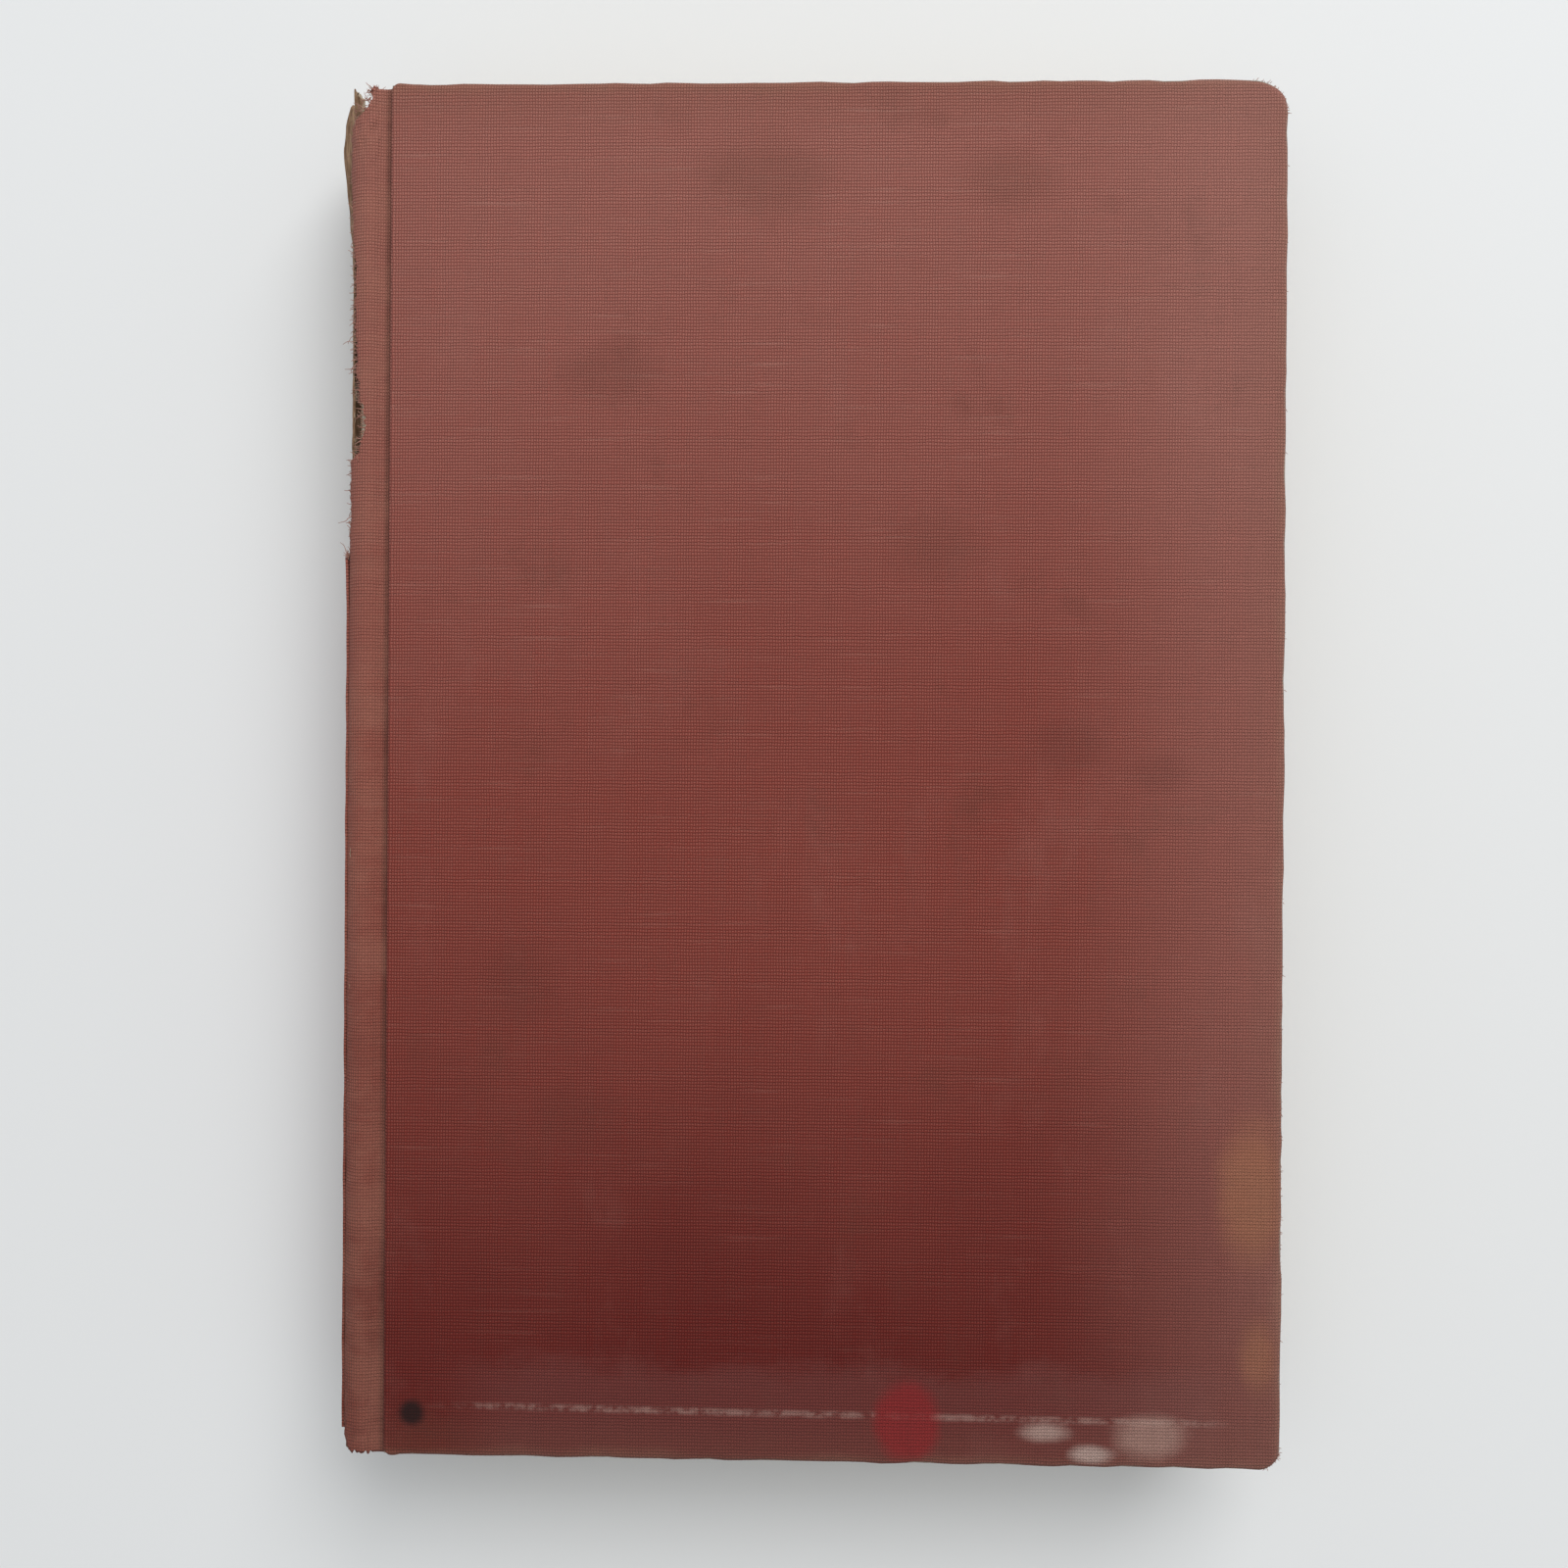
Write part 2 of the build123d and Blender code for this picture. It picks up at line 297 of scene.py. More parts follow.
def cloth_material(name, face):
    """Faded red cloth in an open plain weave. face is front, back or spine."""
    g = Graph(name)
    uv = g.uv()
    u, v = g.split(uv)[0], g.split(uv)[1]
    # Threads wander a little and vary in width
    drift = g.math("MULTIPLY", g.math("SUBTRACT", g.noise(uv, 260, 2), 0.5), 0.0003)
    drift2 = g.math("MULTIPLY", g.math("SUBTRACT", g.noise(g.stretch(uv, 1, 1.7), 330, 2), 0.5), 0.0003)
    cu = g.math("DIVIDE", g.math("ADD", u, drift), WARP_PITCH)
    cv = g.math("DIVIDE", g.math("ADD", v, drift2), WEFT_PITCH)
    su = g.math("SINE", g.math("MULTIPLY", cu, math.pi))
    sv = g.math("SINE", g.math("MULTIPLY", cv, math.pi))
    au, av = g.math("ABSOLUTE", su), g.math("ABSOLUTE", sv)
    over = g.ramp(g.math("MULTIPLY", su, sv), -0.12, 0.12)
    warp_h = g.math("MULTIPLY", au, g.math("MULTIPLY_ADD", av, 0.55, 0.45))
    weft_h = g.math("MULTIPLY", av, g.math("MULTIPLY_ADD", au, 0.55, 0.45))
    slub_weft = g.noise(g.stretch(uv, 60, 1300), 1.0, 2)
    slub_warp = g.noise(g.stretch(uv, 1450, 45), 1.0, 2)
    warp_h = g.math("MULTIPLY", warp_h, g.math("MULTIPLY_ADD", slub_warp, 1.0, 0.45))
    weft_h = g.math("MULTIPLY", weft_h, g.math("MULTIPLY_ADD", slub_weft, 1.1, 0.45))
    height = g.math("ADD", g.math("MULTIPLY", warp_h, over),
                    g.math("MULTIPLY", weft_h, g.math("SUBTRACT", 1.0, over)))
    fibre = g.noise(uv, 9000, 3, 0.7)
    height = g.math("ADD", height, g.math("MULTIPLY", fibre, 0.25))
    # Paler and pinker at the head, deep red at the tail: partly fading, partly painted sheen of the light
    # falling from the head
    big = g.noise(uv, 16, 4, 0.6)
    medium = g.noise(uv, 60, 4, 0.65)
    fine = g.noise(uv, 420, 4, 0.7)
    along = g.math("ADD", v, g.math("MULTIPLY", g.math("SUBTRACT", big, 0.5), 0.05))
    low = g.ramp(along, -0.108, -0.005)
    high = g.ramp(along, -0.02, 0.105)
    colour = g.mix(low, (0.112, 0.008, 0.006), (0.232, 0.044, 0.032))
    colour = g.mix(high, colour, (0.322, 0.108, 0.085))
    paler = g.mix(low, (0.21, 0.050, 0.040), (0.40, 0.155, 0.120))
    paler = g.mix(high, paler, (0.50, 0.25, 0.20))
    # Threads: tops paler as painted highlight with some rubbing, gaps darker as painted shade between the
    # threads
    top = g.ramp(height, 0.45, 1.15)
    colour = g.mix(g.math("MULTIPLY", top, 0.42), colour, paler)
    gap = g.math("SUBTRACT", 1.0, g.ramp(height, 0.05, 0.42))
    colour = g.mix(g.math("MULTIPLY", gap, 0.55), colour, (0.055, 0.008, 0.007))
    slub = g.ramp(slub_weft, 0.60, 0.80)
    colour = g.mix(g.math("MULTIPLY", slub, 0.30), colour, paler)
    # Grime in large soft smudges
    grime = g.ramp(medium, 0.54, 0.78)
    colour = g.mix(g.math("MULTIPLY", grime, 0.30), colour, (0.12, 0.045, 0.030))
    dust = g.ramp(g.noise(g.stretch(uv, 1.3, 0.8), 33, 5, 0.7), 0.52, 0.75)
    colour = g.mix(g.math("MULTIPLY", dust, 0.14), colour, (0.36, 0.17, 0.14))
    # Wear along the cover's edges
    if face in ("front", "back"):
        edge = g.math("MINIMUM", g.math("SUBTRACT", fore_x * MM, u),
                      g.math("SUBTRACT", H * MM, g.math("ABSOLUTE", v)))
        rough_edge = g.math("MULTIPLY_ADD", g.math("SUBTRACT", medium, 0.5), 0.004, edge)
        worn = g.math("SUBTRACT", 1.0, g.ramp(rough_edge, -0.0006, 0.0022))
        colour = g.mix(g.math("MULTIPLY", worn, 0.45), colour, (0.30, 0.165, 0.105))
        brown = g.math("SUBTRACT", 1.0, g.ramp(rough_edge, 0.0, 0.009))
        colour = g.mix(g.math("MULTIPLY", brown, 0.22), colour, (0.20, 0.085, 0.055))
        # Paler towards the fore edge across the whole cover
        right = g.ramp(u, 0.03, 0.066)
        colour = g.mix(g.math("MULTIPLY", right, 0.27), colour, (0.42, 0.22, 0.18))
    if face == "joint":
        # Painted shade in the crease beside the cover
        crease_shade = g.ramp(u, (joint_x - 2.5) * MM, (joint_x - 1.7) * MM)
        colour = g.mix(g.math("MULTIPLY", crease_shade, 0.50), colour, (0.035, 0.010, 0.008))
        # The side of the roll has gone olive brown
        side = g.math("SUBTRACT", 1.0, g.ramp(u, (joint_x - 9.0) * MM, (joint_x - 7.9) * MM))
        colour = g.mix(g.math("MULTIPLY", side, 0.5), colour, (0.13, 0.075, 0.045))
    if face in ("spine", "joint"):
        crown = g.ramp(g.noise(g.stretch(uv, 0.6, 1), 90, 4, 0.7), 0.36, 0.66)
        colour = g.mix(g.math("MULTIPLY_ADD", crown, 0.30, 0.20), colour, (0.38, 0.165, 0.115))
    if face == "front":
        rub = g.noise(g.stretch(uv, 1, 1.4), 75, 5, 0.7)
        # Greyish mauve rubbed band along the tail
        line = g.math("MULTIPLY_ADD", g.math("SUBTRACT", rub, 0.5), 0.012, v)
        band = g.math("SUBTRACT", 1.0, g.ramp(line, -0.0875, -0.0825))
        inside = g.math("MULTIPLY", g.ramp(u, -0.055, -0.040),
                        g.math("SUBTRACT", 1.0, g.ramp(u, 0.053, 0.062)))
        band = g.math("MULTIPLY", band, inside)
        colour = g.mix(g.math("MULTIPLY", band, 0.28), colour, (0.21, 0.085, 0.075))
        crease = g.math("ABSOLUTE", g.math("SUBTRACT", g.math("MULTIPLY_ADD", u, 0.008, v), -0.0914))
        crease = g.math("SUBTRACT", 1.0, g.ramp(crease, 0.0001, 0.0008))
        crease = g.math("MULTIPLY", crease, g.math("MULTIPLY", inside, g.ramp(fine, 0.35, 0.6)))
        colour = g.mix(g.math("MULTIPLY", crease, 0.45), colour, (0.42, 0.26, 0.22))
        # A patch that stayed bright red, and an ink spot
        red = spot(g, u, v, 14.6, -92.3, 4.4, 5.6, 0.25, rub)
        colour = g.mix(g.math("MULTIPLY", red, 0.75), colour, (0.26, 0.020, 0.022))
        ink = spot(g, u, v, -56.3, -92.2, 1.75, 1.75, 0.45, fine, 0.12)
        colour = g.mix(g.math("MULTIPLY", ink, 0.86), colour, (0.012, 0.008, 0.008))
        # Stains and rubbed places: centre and radii in millimetres, strength, tint
        for x, y, rx, ry, share, tint in (
            (34, -93.5, 3.0, 1.3, 0.55, (0.55, 0.40, 0.34)),
            (40.5, -96.5, 2.6, 1.2, 0.60, (0.58, 0.44, 0.38)),
            (49, -94.0, 4.2, 2.6, 0.45, (0.50, 0.33, 0.27)),
            (63, -59, 4.0, 9.0, 0.38, (0.44, 0.19, 0.09)),
            (64, -82, 2.4, 4.5, 0.36, (0.42, 0.18, 0.09)),
            (-6.5, 85, 9.0, 5.0, 0.22, (0.13, 0.055, 0.035)),
            (28, 84, 6.0, 4.0, 0.20, (0.13, 0.055, 0.035)),
            (-29, 56.5, 7.0, 3.5, 0.20, (0.12, 0.045, 0.03)),
            (18, 32, 6.5, 4.5, 0.18, (0.12, 0.045, 0.03)),
            (37, 4, 5.0, 3.5, 0.20, (0.11, 0.04, 0.03)),
            (49.5, 0, 4.0, 2.5, 0.18, (0.11, 0.04, 0.03)),
            (-33.5, -49.5, 6.0, 4.0, 0.18, (0.10, 0.035, 0.025)),
            (-40.5, -30, 5.0, 6.0, 0.16, (0.10, 0.035, 0.025)),
        ):
            mask = spot(g, u, v, x, y, rx, ry, 0.55, rub, 0.55)
            colour = g.mix(g.math("MULTIPLY", mask, share), colour, tint)
    waves = g.bump(big, 0.0006, 0.5)
    weave = g.bump(height, 0.00020, 1.0, waves)
    return g.finish(colour, weave, 0.9, 0.03, 0.14)


def paper_material(name, colour, blotch, lines=None, rough=0.9):
    """Toned paper. lines cuts its edges into leaves along one axis."""
    g = Graph(name)
    place = g.place()
    cloudy = g.ramp(g.noise(place, 38, 5, 0.65), 0.35, 0.75)
    shade = g.mix(g.math("MULTIPLY", cloudy, 0.55), colour, blotch)
    fox = g.ramp(g.noise(place, 210, 2, 0.5), 0.70, 0.80)
    shade = g.mix(g.math("MULTIPLY", fox, 0.35), shade, (0.36, 0.20, 0.09))
    fibre = g.noise(place, 3800, 3, 0.7)
    if lines:
        leaf = g.noise(g.stretch(place, 14, 14, 7200), 1.0, 2, 0.8)
        shade = g.mix(g.math("MULTIPLY", g.ramp(leaf, 0.38, 0.62), 0.42), shade, (0.33, 0.24, 0.14))
        dirt = g.ramp(g.noise(g.stretch(place, 1, 1, 6), 45, 5, 0.7), 0.45, 0.72)
        shade = g.mix(g.math("MULTIPLY", dirt, 0.30), shade, (0.30, 0.21, 0.12))
        normal = g.bump(leaf, 0.00012, 0.9)
    else:
        normal = g.bump(fibre, 0.00004, 0.5)
    return g.finish(shade, normal, rough, 0.0, 0.2)


def card_material(name, colour, dark, grain=(1, 1, 1)):
    """Fibrous board, card or kraft paper. grain stretches its fibres."""
    g = Graph(name)
    place = g.place()
    fibre = g.noise(g.stretch(place, *grain), 900, 4, 0.7)
    cloudy = g.noise(place, 120, 4, 0.6)
    shade = g.mix(g.ramp(fibre, 0.35, 0.68), dark, colour)
    shade = g.mix(g.math("MULTIPLY", g.ramp(cloudy, 0.45, 0.7), 0.4), shade, dark)
    return g.finish(shade, g.bump(fibre, 0.0002, 0.9), 0.95, 0.0, 0.15)


def gauze_material(name):
    """Open binder's gauze, as threads over the glue between them."""
    g = Graph(name)
    place = g.place()
    x, y, z = g.split(place)[:3]
    across = g.math("ABSOLUTE", g.math("SINE", g.math("MULTIPLY", y, math.pi / 0.0009)))
    along = g.math("ABSOLUTE", g.math("SINE", g.math("MULTIPLY", g.math("ADD", z, x), math.pi / 0.0009)))
    mesh = g.math("MAXIMUM", g.ramp(across, 0.75, 0.95), g.ramp(along, 0.75, 0.95))
    shade = g.mix(mesh, (0.42, 0.32, 0.20), (0.72, 0.66, 0.54))
    return g.finish(shade, g.bump(mesh, 0.0001, 0.8), 0.95, 0.0, 0.15)


front_cloth = cloth_material("cloth_front", "front")
back_cloth = cloth_material("cloth_back", "back")
spine_cloth = cloth_material("cloth_spine", "spine")
joint_cloth = cloth_material("cloth_joint", "joint")
endpaper = paper_material("endpaper", (0.74, 0.66, 0.50), (0.62, 0.50, 0.33))
page_edges = paper_material("page_edges", (0.66, 0.56, 0.39), (0.52, 0.40, 0.25), lines=True)
millboard = card_material("millboard", (0.36, 0.32, 0.26), (0.22, 0.19, 0.15))
inlay_card = card_material("inlay_card", (0.40, 0.255, 0.155), (0.17, 0.095, 0.055), (3.0, 0.35, 3.0))
kraft = card_material("kraft_lining", (0.34, 0.23, 0.14), (0.22, 0.14, 0.08), (1, 0.4, 1))
gauze = gauze_material("gauze")
thread_g = Graph("loose_thread")
thread = thread_g.finish(thread_g.mix(thread_g.noise(thread_g.place(), 700, 2), (0.20, 0.055, 0.04),
                                      (0.50, 0.26, 0.18)), None, 0.9, 0.2, 0.2)
ply = card_material("pale_ply", (0.62, 0.52, 0.40), (0.40, 0.30, 0.20), (3, 0.4, 3))


# ---------------------------------------------------------------- covers
def spread(low, high, middle):
    """Places from low to high, close together near both ends and middle apart between."""
    near = [0, 0.08, 0.2, 0.36, 0.56, 0.8, 1.1, 1.5, 2.1, 2.9, 3.9, 5.2]
    left = [low + d for d in near]
    right = [high - d for d in near][::-1]
    count = int((right[0] - left[-1]) / middle)
    return np.array(left + list(np.linspace(left[-1], right[0], count + 1)[1:-1]) + right)


def cover_grid():
    """Points of a cover's outline square, pushed to its round corners, with distance to the edge."""
    xs, ys = spread(joint_x, fore_x, 2.4), spread(-H, H, 2.4)
    plan = np.zeros((len(xs), len(ys), 2))
    gap = np.zeros((len(xs), len(ys)))
    for i, x in enumerate(xs):
        for j, y in enumerate(ys):
            right = x > 0
            a = fore_x - x if right else x - joint_x
            b = H - abs(y)
            r = (HEAD_CORNER if y > 0 else TAIL_CORNER) if right else JOINT_CORNER
            px, py, d = x, y, min(a, b)
            if a < r and b < r:
                p, q = (r - a) / r, (r - b) / r
                m, h = max(p, q), math.hypot(p, q)
                if h > 0:
                    p, q = p * m / h, q * m / h
                d = r * (1 - m)
                px = fore_x - r + p * r if right else joint_x + r - p * r
                py = math.copysign(H - r + q * r, y)
            plan[i, j] = px, py
            gap[i, j] = d
    return plan, gap


plan, gap = cover_grid()
# The rim is rubbed unevenly
rim_pull = np.clip(1 - gap / 1.5, 0, 1) * (0.10 + 0.10 * ripple(plan[..., 0], plan[..., 1], 9, 3)
                                           + 0.05 * ripple(plan[..., 0], plan[..., 1], 2.2, 4))
rim_pull *= np.where(plan[..., 0] < joint_x + 2, 0, 1)


def cover_shell(name, side, material):
    """Cloth round a board: outer face, three worn edges and the turned-in inside."""
    n, m = gap.shape
    sign = -1 if side == "front" else 1
    face = T if side == "front" else 0.0
    pull = np.where(np.abs(plan[..., 1]) < H - 1.5, rim_pull, rim_pull * 0.7)
    x = plan[..., 0] - np.sign(plan[..., 0]) * pull
    y = plan[..., 1] * (1 - rim_pull / H * np.where(np.abs(plan[..., 1]) > H - 1.6, 1, 0))

    def fall(d, r):
        inside = np.clip(r - d, 0, r)
        return r - np.sqrt(r * r - inside * inside)

    swell = 0.07 * (ripple(x, y, 55, 11) + 0.5 * ripple(x, y, 16, 12)) * np.clip(gap / 4, 0, 1)
    from_joint = np.clip((plan[..., 0] - joint_x) / 3, 0, 1)
    x = x - 0.12 * np.clip(1 - (plan[..., 0] - joint_x) / 0.4, 0, 1)
    outer_depth = fall(gap, 0.32 + 0.73 * from_joint) + 0.08 + swell * (1 if side == "front" else 0.25)
    inner_depth = 3.2 - fall(gap, 0.2 + 0.6 * from_joint)
    window = np.clip((gap - 14.6) / 0.8, 0, 1)
    inner_depth = inner_depth - 0.15 * window
    outer = np.stack([x, y, face + sign * outer_depth], -1)
    inner = np.stack([x, y, face + sign * inner_depth], -1)
    verts = list(outer.reshape(-1, 3)) + list(inner.reshape(-1, 3))
    uv = np.stack([plan[..., 0], plan[..., 1]], -1).reshape(-1, 2)
    uvs = list(uv) + list(uv)
    faces = grid_faces(n, m, 0, side == "back") + grid_faces(n, m, n * m, side == "front")
    rim = border(n, m)
    loops = [rim]
    for k, share in enumerate((0.33, 0.67)):
        start = len(verts)
        for a in rim:
            p = verts[a] * (1 - share) + verts[a + n * m] * share
            out = np.array([np.sign(p[0]) if abs(p[0]) > 50 and abs(p[1]) < H - 1 else 0,
                            np.sign(p[1]) if abs(p[1]) > H - 1 else 0, 0])
            verts.append(p + out * 0.06)
            reach_out = 0.9 + k * 0.8
            uvs.append(uv[a] + out[:2] * reach_out)
        loops.append(list(range(start, start + len(rim))))
    loops.append([a + n * m for a in rim])
    for first, second in zip(loops, loops[1:]):
        for k in range(len(rim)):
            k2 = (k + 1) % len(rim)
            quad = (first[k2], first[k], second[k], second[k2])
            faces.append(quad if side == "front" else quad[::-1])
    piece = add_mesh(name, verts, faces, uvs, material)
    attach(piece, f"{side}_cover")
    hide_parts(f"{side}_cloth")
    return piece


def pastedown(side):
    """The endpaper on the inside of a cover, with the turn-ins showing through as a low step."""
    sign = -1 if side == "front" else 1
    face = T if side == "front" else 0.0
    right, top = fore_x - PAPER_MARGIN, H - PAPER_MARGIN
    xs = np.unique(np.concatenate([np.linspace(joint_x + 0.02, right, 64),
                                   fore_x - TURN_IN + np.linspace(-1, 1, 7)]))
    ys = np.unique(np.concatenate([np.linspace(-top, top, 90), H - TURN_IN + np.linspace(-1, 1, 7),
                                   -H + TURN_IN + np.linspace(-1, 1, 7)]))
    gx, gy = np.meshgrid(xs, ys, indexing="ij")
    wavy = 0.25 * ripple(gy, gy * 0, 30, 21)
    gx = np.where(gx > right - 0.5, gx + wavy * 0.5, gx)
    inside = np.minimum(fore_x - gx, H - np.abs(gy)) - TURN_IN + 0.5 * ripple(gx, gy, 40, 22)
    sunk = np.clip(inside / 0.9 + 0.5, 0, 1)
    depth = 3.40 - 0.15 * sunk + 0.015 * ripple(gx, gy, 12, 23)
    points = np.stack([gx, gy, face + sign * depth], -1)
    if side == "front":
        points = points[:, ::-1]
    piece = sheet(f"{side}_pastedown_paper", points, points[..., :2], 0.14, endpaper)
    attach(piece, f"{side}_cover")
    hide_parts(f"{side}_pastedown")


cover_shell("front_cover_cloth", "front", front_cloth)
cover_shell("back_cover_cloth", "back", back_cloth)
pastedown("front")
pastedown("back")


# ---------------------------------------------------------------- spine and joints
def side_z(half, z):
    """Height of a point z above the hinge on the front half, or below it on the back half."""
    return MID + half * (roll_z + z)


def tear_left(y, half):
    """How far round the shoulder roll the cloth still reaches, in degrees, at height y of the book."""
    down = H - y
    if half > 0:
        steps = [(0, 74), (2.2, 82), (4.3, 111), (5.9, 160), (10.7, 166), (14, 158), (19, 147), (26, 128),
                 (33, 127), (42, 119), (45.5, 106), (48.3, 92), (50.6, 99), (53, 112), (54.2, 146),
                 (58, 156), (62, 147), (66, 158), (67.6, 172), (69, 190), (400, 190)]
    else:
        steps = [(0, 128), (3, 140), (12, 136), (30, 142), (48, 133), (54, 145), (60, 168), (63, 190),
                 (400, 190)]
    base = np.interp(down, [s[0] for s in steps], [s[1] for s in steps])
    ragged = 4.0 * ripple(y, y * 0, 2.6, 31) + 3.0 * ripple(y, y * 0, 0.9, 32)
    return np.where(base < 180, base + ragged, base)


def bend_with_cover(piece, half):
    """Bake a piece's transform into its mesh; both halves are treated the same."""
    if half > 0:
        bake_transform(piece)
    else:
        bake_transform(piece)


def joint_strip(half):
    """Cloth from the crease beside a cover, over the shoulder roll and under the spine's own cloth."""
    ys = np.concatenate([np.arange(-H, -H + 8, 0.5), np.linspace(-H + 8, 26, 66)[:-1],
                         np.arange(26, H, 0.32), [H]])
    rows = 44
    t = np.linspace(0, 1, rows)[:, None]
    left = tear_left(ys, half)[None, :]
    crease_start = 58.0  # degrees up the roll, where the crease leaves it
    roll_share, crease_share = 0.8, 0.2  # of the rows
    turn = left + (crease_start - left) * np.clip(t / roll_share, 0, 1)
    rad = np.radians(turn)
    r = ROLL - 0.07 * np.clip((turn - 168) / 10, 0, 1) + 0.035 * ripple(turn * 0.05, ys[None, :], 9, 33)
    x = r * np.cos(rad)
    z = r * np.sin(rad)
    # Valley of the crease, then up inside the board's joint edge
    past = np.clip((t - roll_share) / crease_share, 0, 1)
    x0, z0 = ROLL * math.cos(math.radians(crease_start)), ROLL * math.sin(math.radians(crease_start))
    bx = (1 - past) ** 2 * x0 + 2 * past * (1 - past) * 2.90 + past**2 * 4.10
    bz = (1 - past) ** 2 * z0 + 2 * past * (1 - past) * 1.70 + past**2 * 2.80
    x = np.where(past > 0, bx, x)
    z = np.where(past > 0, bz, z)
    ys2 = np.repeat(ys[None, :], rows, 0)
    wear = 0.25 + 4.3 * np.clip((turn - 110) / 75, 0, 1) ** 1.6 * (1 if half > 0 else 0.55)
    wear = wear + 0.35 * ripple(turn * 0.12, turn * 0, 2.5, 34)
    wear = np.where(past > 0, 0.25, wear)
    low = ys2 + H
    ys2 = np.where(low < 14, -H + wear + low * (14 - wear) / 14, ys2)
    # The head's edge is a little short of the boards and uneven
    top = H - ys2
    short = 0.5 + 0.25 * ripple(turn * 0.15, turn * 0, 2.0, 35)
    ys2 = np.where(top < 6, H - short - top * (6 - short) / 6, ys2)
    pucker = 0.22 * ripple(turn * 0.09, ys2, 4.0, 36) * np.clip((16 - (H - ys2)) / 16, 0, 1)
    pucker += 0.15 * ripple(turn * 0.09, ys2, 3.2, 37) * np.clip((12 - (ys2 + H)) / 12, 0, 1)
    x = x + pucker * np.cos(rad) * (past == 0)
    z = z + pucker * np.sin(rad) * (past == 0)
    points = np.stack([axis_x + x, ys2, side_z(half, z)], -1)
    arc = (crease_start - turn) / 180 * math.pi * ROLL
    u = joint_x - 3.2 + np.where(past > 0, past * 2.9, arc)
    uv = np.stack([u, ys2], -1)
    if half < 0:
        points, uv = points[:, ::-1], uv[:, ::-1]
    name = "front_joint_cloth" if half > 0 else "back_joint_cloth"
    piece = sheet(name, points, uv, CLOTH - 0.04, joint_cloth)
    bend_with_cover(piece, half)
    return piece


def spine_line(off, turn_end, count_roll=7, count_round=44):
    """Points round the spine from one shoulder roll to the other, off inside the cloth's face."""
    line = []
    for turn in np.linspace(turn_end, 180 - lean, count_roll):
        a = math.radians(turn)
        line.append((axis_x + (ROLL - off) * math.cos(a), roll_z + (ROLL - off) * math.sin(a)))
    for b in np.linspace(lean, -lean, count_round)[1:-1]:
        a = math.radians(b)
        line.append((round_cx - (round_r - off) * math.cos(a), (round_r - off) * math.sin(a)))
    return np.array(line + [(x, -z) for x, z in line[:count_roll][::-1]])


def spine_piece():
    """The cloth left on the spine, up to its torn edge. Returns its outer points."""
    line = spine_line(0, 170)
    arc = np.concatenate([[0], np.cumsum(np.hypot(*np.diff(line, axis=0).T))])
    z = line[:, 1]
    down = np.interp(z, [-14, -11, -6, 0, 6, 11, 14], [60, 61, 66.5, 69.5, 69, 68, 67.5])
    down = down + 0.8 * ripple(z, z * 0, 3.0, 41) + 0.6 * ripple(z, z * 0, 1.0, 42)
    foot = 0.4 + 3.2 * np.clip((np.abs(z) - 8) / 5, 0, 1) + 0.3 * ripple(z, z * 0, 4, 43)
    t = np.concatenate([np.linspace(0, 0.06, 14), np.linspace(0.06, 0.9, 60)[1:],
                        np.linspace(0.9, 1, 24)[1:]])
    points = np.zeros((len(line), len(t), 3))
    uv = np.zeros((len(line), len(t), 2))
    for i, (x, zz) in enumerate(line):
        ys = (-H + foot[i]) + t * (2 * H - down[i] - foot[i])
        lift = 0.05 * ripple(ys, ys * 0 + zz, 14, 44) + 0.25 * np.exp(-(H - down[i] - ys) / 2.5)
        points[i, :, 0] = x - lift
        points[i, :, 1] = ys
        points[i, :, 2] = MID + zz
        uv[i, :, 0] = joint_x - 9.6 - arc[i]
        uv[i, :, 1] = ys
    piece = sheet("spine_cloth_sheet", points, uv, CLOTH, spine_cloth)
    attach(piece, "text_block")
    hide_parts("spine_cloth")
    return points


joint_strip(1)
joint_strip(-1)
spine_points = spine_piece()


# Past BOW_END from the book's middle the inlay stays put, so an opened cover has room beside it
BOW_END = 8.3
BOW_EASING = 3.2


def inlay_bow(y):
    """How far the bare inlay has sprung out from the spine, at height y of the book."""
    down = H - y
    return np.interp(down, [0, 3, 6.5, 10.7, 19, 25, 34, 50, 70],
                     [2.2, 2.9, 3.2, 2.9, 2.1, 1.7, 1.35, 0.6, 0])


def inlay_layer(name, off, thickness, material, turn_end, short, seed, swell=1.0, jag=0.35):
    """One ply of the spine's card, off inside the face of the cloth, with ragged long edges."""
    line = spine_line(off, turn_end, 12, 40)
    ys = np.concatenate([np.linspace(-H + 0.5, 26, 40)[:-1], np.linspace(26, H - short, 150)])
    points = np.zeros((len(line), len(ys), 3))
    n = len(line)
    for i, (x, z) in enumerate(line):
        edge = min(i, n - 1 - i) / 6.0
        rag = ripple(ys, ys * 0, 3.5, seed) + 0.7 * ripple(ys, ys * 0, 1.1, seed + 1)
        rag = jag * max(0, 1 - edge) * rag
        head = np.clip((ys - (H - 6)) / 6, 0, 1) * 0.5 * ripple(ys * 0 + z, ys * 0, 2.2, seed + 2)
        free = np.clip((BOW_END - abs(z)) / BOW_EASING, 0, 1)
        free = free * free * (3 - 2 * free)
        points[i, :, 0] = x - inlay_bow(ys) * swell * free + 0.06 * ripple(ys, ys * 0 + z, 6, seed + 3)
        points[i, :, 1] = ys - head * np.clip((ys - (H - 6)) / 6, 0, 1)
        points[i, :, 2] = MID + z - math.copysign(1, z) * rag
    piece = sheet(name, points, points[..., [2, 1]], thickness, material)
    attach(piece, "text_block")
    return piece


core = inlay_layer("spine_inlay_core", 0.62, 0.30, inlay_card, 150, 0.9, 51)
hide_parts("spine_inlay")
inlay_layer("spine_inlay_skin", 0.44, 0.13, inlay_card, 146, 0.5, 61, 1.10)
inlay_layer("spine_inlay_pale_ply", 0.585, 0.05, ply, 152, 0.35, 71, 1.04, 0.5)

